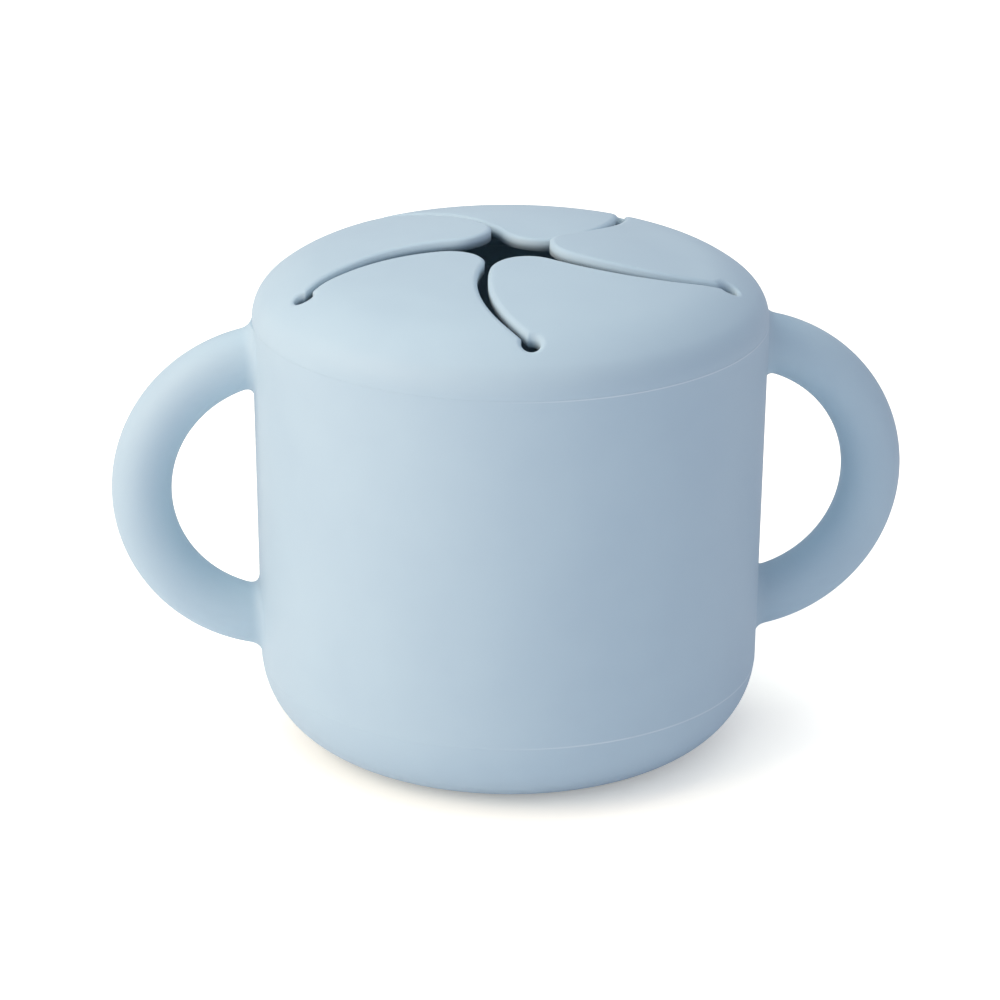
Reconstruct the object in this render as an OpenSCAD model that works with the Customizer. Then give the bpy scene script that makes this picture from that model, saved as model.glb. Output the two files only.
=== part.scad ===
// Toddler snack cup: a thick silicone cup with two loop handles and a domed lid.
// The lid is cut into curved flaps that bend inwards for a small hand and spring back.
// Millimetres. +Z is up, X runs through both handles, the origin is under the cup's centre.

/* [Cup] */
// Height from the table to the seam between cup and lid
seam_z = 76.7; // [60:0.1:110]
// Outer radius of the cup at the seam
cup_top_r = 45; // [38:0.5:60]
// Draft angle by which the wall narrows towards the table
wall_draft = 0.75; // [0:0.05:4]
// Thickness of the cup's side wall
cup_wall = 3.2; // [2.4:0.1:4.5]
// Thickness of the cup's floor
cup_floor = 3.6; // [2.4:0.1:6]
// Outer radius of the rounded base
base_round_r = 15; // [8:0.5:20]
// Inner radius where the wall meets the floor
inner_round_r = 12; // [5:0.5:18]
// Width of the foot ring that the cup stands on
foot_ring_w = 5; // [3:0.5:9]
// Depth of the shallow hollow inside the foot ring
foot_hollow_depth = 0.6; // [0.3:0.1:1.2]

/* [Rim and lid fit] */
// Height of the upstand that the lid's groove sits over
rim_h = 3; // [2:0.1:3.6]
// Thickness of the upstand
rim_wall = 1.4; // [1:0.1:1.8]
// Thickness of the lid's sealing ring, which hangs inside the cup's mouth
seal_wall = 1.2; // [0.8:0.1:1.8]
// Depth of the sealing ring below the seam
seal_depth = 4; // [2.5:0.5:8]
// Height of the bead round the sealing ring
seal_bead_h = 1.6; // [1:0.1:2.4]
// How far the bead stands out of the sealing ring
seal_bead_out = 0.12; // [0.05:0.01:0.15]
// Clearance between lid and cup all round the groove
fit_gap = 0.25; // [0.2:0.05:0.4]
// Fine gap that shows as the seam between lid and cup
seam_gap = 0.2; // [0.1:0.05:0.4]

/* [Handles] */
// How far each handle reaches out from the cup's wall
handle_reach = 25; // [18:0.5:35]
// Radius of the handle's loop, to the middle of its round bar
handle_loop_r = 24.6; // [20:0.1:26]
// Radius of the handle's round bar
handle_bar_r = 5.25; // [4:0.05:7]
// How far the top of the loop lies below the seam
handle_drop = 0.5; // [0.2:0.1:6]
// Radius of the soft fillet where a handle meets the wall
handle_fillet_r = 2.2; // [1.5:0.1:3]

/* [Lid] */
// Radius of the lid's rounded shoulder, from the seam upwards
lid_round_r = 7; // [6.5:0.1:9]
// Angle through which the shoulder turns before it grows flatter
lid_round_turn = 51; // [45:1:60]
// Radius of the flatter part of the shoulder, which runs into the dome
crown_round_r = 21; // [15:0.5:26]
// Radius of the shallow dome on top
dome_r = 160; // [110:5:320]
// Thickness of the lid's top and its flaps
lid_wall = 2.3; // [1.8:0.1:3]

/* [Flaps] */
// Number of flaps, and of the slits between them
flap_count = 5; // [5:1:6]
// Direction of the first slit, as the lid is seated, 0 being +X
first_slit_angle = -91.4; // [-180:0.1:180]
// Radius of the round hole that ends each slit and stops it tearing
relief_hole_r = 1.7; // [1.2:0.1:2.2]
// Distance between a slit's end hole and the sealing ring
relief_margin = 0.45; // [0.2:0.05:2]
// Height of each slit's bow away from a straight line to the centre
slit_bow = 6.4; // [3:0.1:8]
// Width of a slit at its end hole
slit_w_outer = 0.7; // [0.5:0.1:1.2]
// Width of a slit halfway to the centre, which it keeps from there
slit_w_inner = 1.9; // [0.9:0.1:2.2]
// Radius of the flaps' round tips
flap_tip_r = 5.8; // [2:0.1:7]
// Distance of a flap's bending line inside the straight line between its two end holes
bend_inset = 4.5; // [3.6:0.1:7]
// Radius of the flap's rounded root, about its bending line
root_r = 2.3; // [2:0.05:2.6]
// Clearance round the flap's root
root_gap = 0.3; // [0.2:0.05:0.4]

/* [Hidden] */

powder_blue = [0.76, 0.83, 0.88];
$fn = 96;
far = 4 * (cup_top_r + handle_reach); // longer than anything that is cut

// Cup: the wall is a straight taper, and every round is tangent to it.
taper = tan(wall_draft);
taper_len = 1 / cos(wall_draft);
cup_base_r = cup_top_r - taper * seam_z; // where the wall would meet the table, without the rounded base
inner_base_r = cup_base_r - cup_wall * taper_len;
mouth_r = inner_base_r + taper * seam_z;
base_round_x = cup_base_r + taper * base_round_r - base_round_r * taper_len;
inner_round_z = cup_floor + inner_round_r;
inner_round_x = inner_base_r + taper * inner_round_z - inner_round_r * taper_len;
foot_hollow_r = base_round_x - foot_ring_w;
foot_slope_w = 1.5; // run of the soft slope into the foot hollow

// Rim and the groove over it
rim_r = mouth_r + rim_wall;
rim_top_z = seam_z + rim_h;
rim_round_r = 0.45 * rim_wall;
groove_outer_r = rim_r + fit_gap;
groove_inner_r = mouth_r - fit_gap;
groove_top_z = rim_top_z + fit_gap;
groove_round_r = rim_round_r + fit_gap;
seal_r = groove_inner_r - seal_wall;
seal_bottom_z = seam_z - seal_depth;
seal_round_r = 0.4 * seal_wall;
seal_bead_z = seal_bottom_z + seal_round_r + 0.4 + seal_bead_h / 2;

// Lid: two arcs make the shoulder, and run into each other and the dome without a corner.
lid_bottom_z = seam_z + seam_gap;
shoulder_x = cup_top_r - lid_round_r;
crown_x = shoulder_x - (crown_round_r - lid_round_r) * cos(lid_round_turn);
crown_z = seam_z - (crown_round_r - lid_round_r) * sin(lid_round_turn);
dome_rise = sqrt(pow(dome_r - crown_round_r, 2) - pow(crown_x, 2));
dome_z = crown_z - dome_rise; // centre of the dome's sphere
crown_end_angle = atan2(dome_rise, crown_x);
under_round_r = lid_round_r - lid_wall;
under_crown_r = crown_round_r - lid_wall;
seal_on_round = seal_r > shoulder_x + under_round_r * cos(lid_round_turn);
seal_end_angle = seal_on_round ?
    acos((seal_r - shoulder_x) / under_round_r) :
    acos((seal_r - crown_x) / under_crown_r);

// Slits: arcs of one circle from each end hole to the lid's centre
hole_circle_r = seal_r - relief_margin - relief_hole_r;
slit_r = (pow(hole_circle_r / 2, 2) + pow(slit_bow, 2)) / (2 * slit_bow);
slit_centre = [hole_circle_r / 2, slit_r - slit_bow];
slit_half_angle = asin(hole_circle_r / 2 / slit_r);
slit_steps = 14;

// Bending lines: one side of a polygon inside the end holes for each flap
flap_angle = 360 / flap_count;
bend_x = hole_circle_r * cos(flap_angle / 2) - bend_inset;
next_centre = turned(slit_centre, flap_angle / 2);
bend_end_y = next_centre[1] - sqrt(pow(slit_r, 2) - pow(bend_x - next_centre[0], 2));
this_centre = turned(slit_centre, -flap_angle / 2);
bend_start_y = this_centre[1] - sqrt(pow(slit_r, 2) - pow(bend_x - this_centre[0], 2));
bend_mid_z = dome_height((bend_x + norm([bend_x, bend_start_y])) / 2) - lid_wall / 2;

// Handles
handle_x = cup_top_r + handle_reach - handle_loop_r - handle_bar_r;
handle_z = seam_z - handle_drop - handle_loop_r - handle_bar_r;
handle_root_z = sqrt(pow(handle_loop_r, 2) - pow(cup_top_r - handle_x, 2));
collar_slope = 25; // how steeply the collar's edge runs into the wall
collar_depth = 1.5; // how far the collar's cone goes on inside the wall
collar_inset = 0.45; // how far the collar's top lies inside the bar
collar_arc_x = handle_bar_r - collar_inset + handle_fillet_r * cos(15);
collar_arc_z = handle_fillet_r;

// Height of the dome's outer surface at a distance from the lid's axis
function dome_height(r) = dome_z + sqrt(pow(dome_r, 2) - pow(r, 2));

// A point turned about the origin
function turned(p, angle) = [p[0] * cos(angle) - p[1] * sin(angle), p[0] * sin(angle) + p[1] * cos(angle)];

// Points along an arc, both ends included
function arc(centre, r, from, to, steps) =
    [for (i = [0:steps]) centre + r * [cos(from + (to - from) * i / steps), sin(from + (to - from) * i / steps)]];

// The cup's outline to one side of its axis, without its hollow
function cup_outside() = concat(
    arc([base_round_x, base_round_r], base_round_r, -90, -wall_draft, 14),
    [[cup_top_r, seam_z]]);

// The hollow's outline, from the axis up the wall to above the rim
function cup_hollow() = concat(
    [[0, cup_floor]],
    arc([inner_round_x, inner_round_z], inner_round_r, -90, -wall_draft, 12),
    [[mouth_r, seam_z], [mouth_r, rim_top_z + 1], [0, rim_top_z + 1]]);

// A slit's middle line, from its end hole on +X to the lid's centre
function slit_line(steps) = arc(slit_centre, slit_r, -90 + slit_half_angle, -90 - slit_half_angle, steps);

// Half of a slit's width at a share of its length, 0 at the end hole
function slit_half_w(share) =
    (slit_w_outer + (slit_w_inner - slit_w_outer) * sin(90 * min(1, 2 * share))) / 2;

// A slit's outline: its middle line moved to both sides
function slit_outline() = concat(
    [for (i = [0:slit_steps]) slit_side(i, 1)],
    [for (i = [slit_steps:-1:0]) slit_side(i, -1)]);

function slit_side(i, side) =
    let (a = -90 + slit_half_angle - 2 * slit_half_angle * i / slit_steps)
    slit_centre + (slit_r + side * slit_half_w(i / slit_steps)) * [cos(a), sin(a)];

// The share of the lid that one flap lies in, between two slits' middle lines
function flap_share() =
    let (line = slit_line(slit_steps), outer = 2 * cup_top_r)
    concat(
        [for (i = [slit_steps:-1:0]) turned(line[i], -flap_angle / 2)],
        [turned([outer, 0], -flap_angle / 2), turned([outer, 0], flap_angle / 2)],
        [for (i = [0:slit_steps - 1]) turned(line[i], flap_angle / 2)]);

// ---- Cup ----

module cup() {
    color(powder_blue)
    difference() {
        union() {
            cup_solid(0);
            rotate_extrude() rim_outline();
        }
        rotate_extrude() polygon(cup_hollow());
        foot_hollow();
    }
}

// The cup's outer form, filled in, and carried on above the seam by a height
module cup_solid(above) {
    top_z = seam_z + above;
    rotate_extrude() polygon(concat([[0, 0]], cup_outside(), [[cup_top_r, top_z], [0, top_z]]));
}

// The upstand, from inside the wall to its rounded top
module rim_outline() {
    polygon(concat(
        [[mouth_r - 1, seam_z - 1], [rim_r, seam_z - 1]],
        arc([rim_r - rim_round_r, rim_top_z - rim_round_r], rim_round_r, 0, 90, 5),
        arc([mouth_r + rim_round_r, rim_top_z - rim_round_r], rim_round_r, 90, 180, 5),
        [[mouth_r, seam_z], [mouth_r - 1, seam_z]]));
}

// A shallow hollow with a sloped edge leaves a ring to stand on.
module foot_hollow() {
    rotate_extrude()
    polygon([
        [0, -1],
        [foot_hollow_r, -1],
        [foot_hollow_r, 0],
        [foot_hollow_r - foot_slope_w, foot_hollow_depth],
        [0, foot_hollow_depth]]);
}

// ---- Handles ----

// side is 1 for the handle on +X, -1 for the one on -X.
module handle(side) {
    color(powder_blue)
    difference() {
        union() {
            handle_loop(side);
            for (up = [-1, 1]) handle_root(side, up);
        }
        cup_solid(rim_h);
        translate([-far / 2, -far / 2, seam_z]) cube([far, far, far]);
    }
}

// Half a ring of round bar, open towards the cup
module handle_loop(side) {
    translate([side * handle_x, 0, handle_z])
    rotate([90, 0, 0])
    rotate_extrude(angle = 180, start = side > 0 ? -90 : 90)
    translate([handle_loop_r, 0]) circle(r = handle_bar_r);
}

// A hollow-curved collar that blends the bar into the wall
module handle_root(side, up) {
    root_z = handle_z + up * handle_root_z;
    flare = arc([collar_arc_x, collar_arc_z], handle_fillet_r, -90 - collar_slope, -165, 5);
    slope_end_x = flare[0][0] + (flare[0][1] + collar_depth) / tan(collar_slope);
    translate([side * (cup_base_r + taper * root_z), 0, root_z])
    rotate([0, side * 90, 0])
    rotate_extrude()
    polygon(concat([[0, -collar_depth], [slope_end_x, -collar_depth]], flare, [[0, flare[5][1]]]));
}

module handle_left() {
    handle(-1);
}

module handle_right() {
    handle(1);
}

// ---- Lid ----

// The whole lid before its top is cut into flaps
module lid_blank() {
    rotate_extrude()
    polygon(concat(
        [for (i = [0:7]) dome_point(dome_r, i / 8)],
        arc([crown_x, crown_z], crown_round_r, crown_end_angle, lid_round_turn, 6),
        [for (i = [1:7]) shoulder_point(i / 7)],
        [[groove_outer_r, lid_bottom_z]],
        arc([groove_outer_r - groove_round_r, groove_top_z - groove_round_r], groove_round_r, 0, 90, 4),
        arc([groove_inner_r + groove_round_r, groove_top_z - groove_round_r], groove_round_r, 90, 180, 4),
        [for (z = [1, -1]) [groove_inner_r, seal_bead_z + z * seal_bead_h / 2]],
        arc([groove_inner_r - seal_round_r, seal_bottom_z + seal_round_r], seal_round_r, 0, -90, 3),
        arc([seal_r + seal_round_r, seal_bottom_z + seal_round_r], seal_round_r, -90, -180, 3),
        underside_round(),
        [for (i = [7:-1:0]) dome_point(dome_r - lid_wall, i / 8)]));
}

// A point on a dome of radius r, from the axis (share 0) to the shoulder's flatter arc (share 1)
function dome_point(r, share) =
    let (a = 90 - (90 - crown_end_angle) * share)
    [0, dome_z] + r * [cos(a), sin(a)];

// A point on the shoulder's rounder arc, from the flatter arc (share 0) to the lid's lower edge
function shoulder_point(share) =
    let (a = lid_round_turn + (asin(seam_gap / lid_round_r) - lid_round_turn) * share)
    [shoulder_x, seam_z] + lid_round_r * [cos(a), sin(a)];

// The shoulder seen from inside, from the sealing ring up to the dome
function underside_round() =
    seal_on_round ?
    concat(
        arc([shoulder_x, seam_z], under_round_r, seal_end_angle, lid_round_turn, 3),
        [for (i = [1:6]) under_crown_point(lid_round_turn, i / 6)]) :
    [for (i = [0:6]) under_crown_point(seal_end_angle, i / 6)];

function under_crown_point(from, share) =
    let (a = from + (crown_end_angle - from) * share)
    [crown_x, crown_z] + under_crown_r * [cos(a), sin(a)];

// The bead that seals against the inside of the cup's mouth
module seal_bead() {
    rotate_extrude()
    polygon([
        [groove_inner_r - seal_wall / 2, seal_bead_z + seal_bead_h / 2],
        [groove_inner_r, seal_bead_z + seal_bead_h / 2],
        [groove_inner_r + seal_bead_out, seal_bead_z],
        [groove_inner_r, seal_bead_z - seal_bead_h / 2],
        [groove_inner_r - seal_wall / 2, seal_bead_z - seal_bead_h / 2]]);
}

module lid() {
    color(powder_blue)
    difference() {
        union() {
            lid_blank();
            seal_bead();
        }
        for (i = [1:flap_count]) {
            at_slit(i) through_top() polygon(slit_outline());
            at_slit(i) translate([hole_circle_r, 0, seam_z]) cylinder(r = relief_hole_r, h = far);
            at_flap(i) flap_space();
        }
    }
}

// ---- Flaps ----

module at_slit(i) {
    rotate([0, 0, first_slit_angle + (i - 1) * flap_angle]) children();
}

// Turns flap i's bending line to face +X, halfway between its two end holes
module at_flap(i) {
    rotate([0, 0, first_slit_angle + (i - 1 / 2) * flap_angle]) children();
}

// A flat shape made tall enough to cut through the lid's top
module through_top() {
    translate([0, 0, seam_z]) linear_extrude(height = far) children();
}

// Everything inside a flap's bending line, and a round root about the line as far as end_y
module inside_bend_line(r, end_y) {
    start_y = bend_start_y - 2 * root_r;
    translate([bend_x - far, -far / 2, seam_z - far / 2]) cube([far, far, far]);
    translate([bend_x, start_y, bend_mid_z])
    rotate([-90, 0, 0])
    cylinder(r = r, h = end_y - start_y);
}

// The space that one flap takes out of the lid
module flap_space() {
    intersection() {
        through_top() polygon(flap_share());
        inside_bend_line(root_r + root_gap, bend_end_y);
    }
}

// One flap's outline seen from above, its tip rounded
module flap_outline() {
    offset(r = flap_tip_r, $fn = 48)
    offset(delta = -flap_tip_r)
    difference() {
        polygon(flap_share());
        for (side = [-1, 1]) rotate(side * flap_angle / 2) polygon(slit_outline());
    }
}

module flap(i) {
    color(powder_blue)
    intersection() {
        lid_blank();
        at_flap(i)
        intersection() {
            through_top() flap_outline();
            inside_bend_line(root_r, bend_end_y - slit_w_inner);
        }
    }
}

cup();
handle_left();
handle_right();
lid();
for (i = [1:flap_count]) flap(i);
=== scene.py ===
import math

import bpy
import numpy as np
from mathutils import Matrix, Vector


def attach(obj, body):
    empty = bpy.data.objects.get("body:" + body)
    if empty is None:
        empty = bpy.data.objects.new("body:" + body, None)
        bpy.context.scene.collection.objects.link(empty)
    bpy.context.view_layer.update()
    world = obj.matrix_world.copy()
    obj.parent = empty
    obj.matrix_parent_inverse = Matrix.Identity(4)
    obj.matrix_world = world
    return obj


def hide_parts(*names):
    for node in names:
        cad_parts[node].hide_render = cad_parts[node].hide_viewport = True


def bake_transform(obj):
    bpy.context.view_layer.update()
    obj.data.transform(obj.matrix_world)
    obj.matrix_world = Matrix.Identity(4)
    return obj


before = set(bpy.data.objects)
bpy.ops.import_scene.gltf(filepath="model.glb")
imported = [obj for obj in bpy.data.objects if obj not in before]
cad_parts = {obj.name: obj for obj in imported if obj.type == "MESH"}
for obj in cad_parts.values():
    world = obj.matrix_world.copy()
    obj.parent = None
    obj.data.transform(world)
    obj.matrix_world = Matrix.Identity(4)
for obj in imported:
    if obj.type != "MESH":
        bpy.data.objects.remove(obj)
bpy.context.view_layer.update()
print("frame: loaded", len(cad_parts), "solids")

# All shapes are worked out in millimetres and turned to metres as they go into a mesh. In the
# dictionaries lengths are millimetres and angles degrees. Small steps written inside an outline
# only place rows of points.
metresPerMm = 0.001
tiny = 1e-9  # keeps a division by a vanishing length defined


# an angle in degrees as a unit vector (cos a, sin a), one row for each angle
def unitVectors(degrees):
    a = np.radians(np.atleast_1d(degrees))
    return np.stack([np.cos(a), np.sin(a)], axis=-1)


# points of a straight line: a + t (b - a), ends included
def linePoints(a, b, count):
    return np.linspace(a, b, count)


# points of an arc: centre + radius * (cos a, sin a), a from start to end
def arcPoints(centre, radius, start, end, count):
    return np.array(centre) + radius * unitVectors(np.linspace(start, end, count))


# points p turned about the origin: (x cos a - y sin a, x sin a + y cos a)
def turned(p, degrees):
    c, s = math.cos(math.radians(degrees)), math.sin(math.radians(degrees))
    return np.asarray(p) @ np.array([[c, s], [-s, c]])


# a vector's direction in degrees: atan2(y, x)
def angleOf(v):
    return math.degrees(math.atan2(v[1], v[0]))


# the turn from one direction to another by the shorter way, between -180 and 180
def shortTurn(start, end):
    return (end - start + 180) % 360 - 180


# 0 below low, 1 above high, 3t^2 - 2t^3 between
def smoothStep(x, low, high):
    t = np.clip((x - low) / (high - low), 0, 1)
    return t * t * (3 - 2 * t)


# quads (i, j), (i + 1, j), (i + 1, j + 1), (i, j + 1) of a grid of vertex numbers;
# wrapRows and wrapColumns join its last line to its first
def gridFaces(index, wrapRows=False, wrapColumns=False):
    if wrapRows:
        index = np.concatenate([index, index[:1]], axis=0)
    if wrapColumns:
        index = np.concatenate([index, index[:, :1]], axis=1)
    corners = [index[:-1, :-1], index[1:, :-1], index[1:, 1:], index[:-1, 1:]]
    return np.stack(corners, axis=-1).reshape(-1, 4)


# triangles that close a tube's two ends, each from a middle point to the ring of its end
def endFans(index, firstMiddle, lastMiddle):
    after = np.roll(index, -1, axis=0)
    return np.concatenate([
        np.stack([np.full(len(index), firstMiddle), after[:, 0], index[:, 0]], axis=-1),
        np.stack([np.full(len(index), lastMiddle), index[:, -1], after[:, -1]], axis=-1),
    ])


# six times the volume: sum of a . (b x c) over the triangles, above 0 when the faces point outwards
def signedVolume(points, quads):
    a, b, c, d = (points[quads[:, i]] for i in range(4))
    return float(np.sum(a * np.cross(b, c)) + np.sum(a * np.cross(c, d)))


# area-weighted vertex normals: each face adds the cross product of its diagonals to its corners
def vertexNormals(points, quads):
    across = np.cross(points[quads[:, 2]] - points[quads[:, 0]], points[quads[:, 3]] - points[quads[:, 1]])
    normals = np.zeros_like(points)
    for corner in range(4):
        np.add.at(normals, quads[:, corner], across)
    return normals / np.maximum(np.linalg.norm(normals, axis=1, keepdims=True), tiny)


# one closed mesh object at the origin, its faces turned outwards by the sign of its volume; fans are
# triangles given beside the quads, and exact holds the surface formula's own normals where exactAt is true
def makePiece(name, points, quads, material, fans=None, exact=None, exactAt=None):
    fans = np.zeros((0, 3), int) if fans is None else fans
    allFaces = np.concatenate([quads, fans[:, [0, 1, 2, 2]]])
    if signedVolume(points, allFaces) < 0:
        quads, fans, allFaces = quads[:, ::-1], fans[:, ::-1], allFaces[:, ::-1]
    mesh = bpy.data.meshes.new(name)
    mesh.from_pydata((points * metresPerMm).tolist(), [], quads.tolist() + fans.tolist())
    mesh.validate()
    mesh.shade_smooth()
    if exact is not None:
        normals = vertexNormals(points, allFaces)
        normals[exactAt] = exact[exactAt]
        mesh.normals_split_custom_set_from_vertices(normals.tolist())
    mesh.materials.append(material)
    piece = bpy.data.objects.new(name, mesh)
    bpy.context.scene.collection.objects.link(piece)
    print("piece:", name, len(mesh.polygons), "faces")
    return piece


# an sRGB hex code as linear colour: v / 12.92 when dark, else ((v + 0.055) / 1.055) ^ 2.4
def hexToLinear(code):
    srgb = np.array([int(code[i:i + 2], 16) / 255 for i in (1, 3, 5)])
    linear = np.where(srgb <= 0.04045, srgb / 12.92, ((srgb + 0.055) / 1.055) ** 2.4)
    return (*linear.tolist(), 1.0)


# adds a node, sets its values, and links its inputs from other nodes' sockets
def addNode(tree, kind, values=None, links=None, **settings):
    node = tree.nodes.new(kind)
    for key, value in settings.items():
        setattr(node, key, value)
    for key, value in (values or {}).items():
        node.inputs[key].default_value = value
    for key, socket in (links or {}).items():
        tree.links.new(socket, node.inputs[key])
    return node


# a material with an empty node tree
def newMaterial(name):
    material = bpy.data.materials.new(name)
    material.use_nodes = True
    material.node_tree.nodes.clear()
    return material, material.node_tree


# a colour Mix node has sockets of the same names for each type of value, so they go by number
mixShare, mixFirst, mixSecond, mixResult = 0, 6, 7, 2

silicone = {
    "pale": "#bbd3de",  # powder-blue pigment
    "deep": "#b4ccd9",  # where the pigment lies a little thicker
    "paintedHighlight": "#dbe9f0",  # painted highlight along the mould's lines, where their edges catch the light
    "paintedHighlightLines": (  # height, half width, and strength from 0 to 1 of each painted highlight
        (76.50, 0.19, 0.75),  # at the seam
        (13.8, 0.24, 0.65),  # round the base
    ),
    "paintedHighlightFrom": -12.0,  # the painted highlight shows on the right only: it begins here
    "paintedHighlightTo": 14.0,  # and is full from here
    "cloudSize": 14.0,  # soft clouds in the pigment
    "grainSize": 0.45,  # the mould's blasted grain; the real one is near 0.05 mm, too fine to show
    "grainDepth": 0.010,
    "waveSize": 9.0,  # slow unevenness left by shrinkage
    "waveDepth": 0.020,
    "roughness": 0.55,
    "ior": 1.41,  # silicone rubber
    "bloom": 0.12,  # faint powdery whiteness, strongest where the skin turns away
    "bloomRoughness": 0.5,
}


# Compression-moulded silicone rubber, pigmented and with the mould's fine blasted finish:
# an even, soft, satin-matte skin with broad dull highlights and no sparkle. Along the mould's lines a painted
# highlight stands in for the light their edges catch: a smooth band in height, times a smooth rise from left
# to right.
def makeSilicone(values):
    material, tree = newMaterial("compression-moulded silicone")
    place = addNode(tree, "ShaderNodeTexCoord")
    clouds = addNode(tree, "ShaderNodeTexNoise",
                     {"Scale": 1 / (values["cloudSize"] * metresPerMm), "Detail": 2.0, "Roughness": 0.5},
                     {"Vector": place.outputs["Object"]})
    colour = addNode(tree, "ShaderNodeMix",
                     {mixFirst: hexToLinear(values["pale"]), mixSecond: hexToLinear(values["deep"])},
                     {mixShare: clouds.outputs["Fac"]}, data_type="RGBA")
    axes = addNode(tree, "ShaderNodeSeparateXYZ", links={0: place.outputs["Object"]})
    rightness = addNode(tree, "ShaderNodeMapRange",
                        {"From Min": values["paintedHighlightFrom"] * metresPerMm,
                         "From Max": values["paintedHighlightTo"] * metresPerMm},
                        {"Value": axes.outputs["X"]}, interpolation_type="SMOOTHSTEP")
    # each mould line gets a painted highlight: a paler band in the colour, full on the right
    for height, halfWidth, strength in values["paintedHighlightLines"]:
        above = addNode(tree, "ShaderNodeMath", {1: height * metresPerMm}, {0: axes.outputs["Z"]},
                        operation="SUBTRACT")
        away = addNode(tree, "ShaderNodeMath", links={0: above.outputs[0]}, operation="ABSOLUTE")
        band = addNode(tree, "ShaderNodeMapRange",
                       {"From Min": 0.0, "From Max": halfWidth * metresPerMm,
                        "To Min": strength, "To Max": 0.0},
                       {"Value": away.outputs[0]}, interpolation_type="SMOOTHSTEP")
        amount = addNode(tree, "ShaderNodeMath", links={0: band.outputs[0], 1: rightness.outputs[0]},
                         operation="MULTIPLY")
        colour = addNode(tree, "ShaderNodeMix", {mixSecond: hexToLinear(values["paintedHighlight"])},
                         {mixShare: amount.outputs[0], mixFirst: colour.outputs[mixResult]}, data_type="RGBA")
    grain = addNode(tree, "ShaderNodeTexNoise",
                    {"Scale": 1 / (values["grainSize"] * metresPerMm), "Detail": 2.0, "Roughness": 0.6},
                    {"Vector": place.outputs["Object"]})
    waves = addNode(tree, "ShaderNodeTexNoise",
                    {"Scale": 1 / (values["waveSize"] * metresPerMm), "Detail": 1.0},
                    {"Vector": place.outputs["Object"]})
    unevenBump = addNode(tree, "ShaderNodeBump",
                         {"Strength": 1.0, "Distance": values["waveDepth"] * metresPerMm},
                         {"Height": waves.outputs["Fac"]})
    grainBump = addNode(tree, "ShaderNodeBump",
                        {"Strength": 1.0, "Distance": values["grainDepth"] * metresPerMm},
                        {"Height": grain.outputs["Fac"], "Normal": unevenBump.outputs["Normal"]})
    shader = addNode(tree, "ShaderNodeBsdfPrincipled",
                     {"Roughness": values["roughness"], "IOR": values["ior"],
                      "Sheen Weight": values["bloom"], "Sheen Roughness": values["bloomRoughness"]},
                     {"Base Color": colour.outputs[mixResult], "Normal": grainBump.outputs["Normal"]})
    addNode(tree, "ShaderNodeOutputMaterial", links={"Surface": shader.outputs["BSDF"]})
    return material


siliconeSkin = makeSilicone(silicone)
print("material: silicone made")

cup = {
    "seamZ": 76.7,
    "topR": 45.0,
    "draft": 0.75,
    "wall": 3.2,
    "floor": 3.6,
    "baseRound": 15.0,
    "innerRound": 12.0,
    "footRing": 5.0,  # width of the ring it stands on
    "footRound": 0.45,
    "footHollow": 0.6,  # depth of the hollow inside that ring
    "hollowRound": 1.0,
    "rimHeight": 3.0,
    "rimWall": 1.4,
    "rimRoundShare": 0.45,  # of rimWall
    "rimFootRound": 0.25,
    "edgeRound": 0.015,  # the wall's top edge, at the seam
    "mouldLineZ": 13.8,  # where the mould's base plate met its side
    "mouldLineHeight": 0.03,
    "mouldLineWidth": 0.22,
    "turns": 300,  # lines of points round the axis
}
cup["rimRound"] = cup["rimRoundShare"] * cup["rimWall"]
wallSlope = math.tan(math.radians(cup["draft"]))
wallLean = 1 / math.cos(math.radians(cup["draft"]))
wallFoot = cup["topR"] - wallSlope * cup["seamZ"]


# the wall's outer radius at a height: foot + slope z
def wallRadius(z):
    return wallFoot + wallSlope * z


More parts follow.
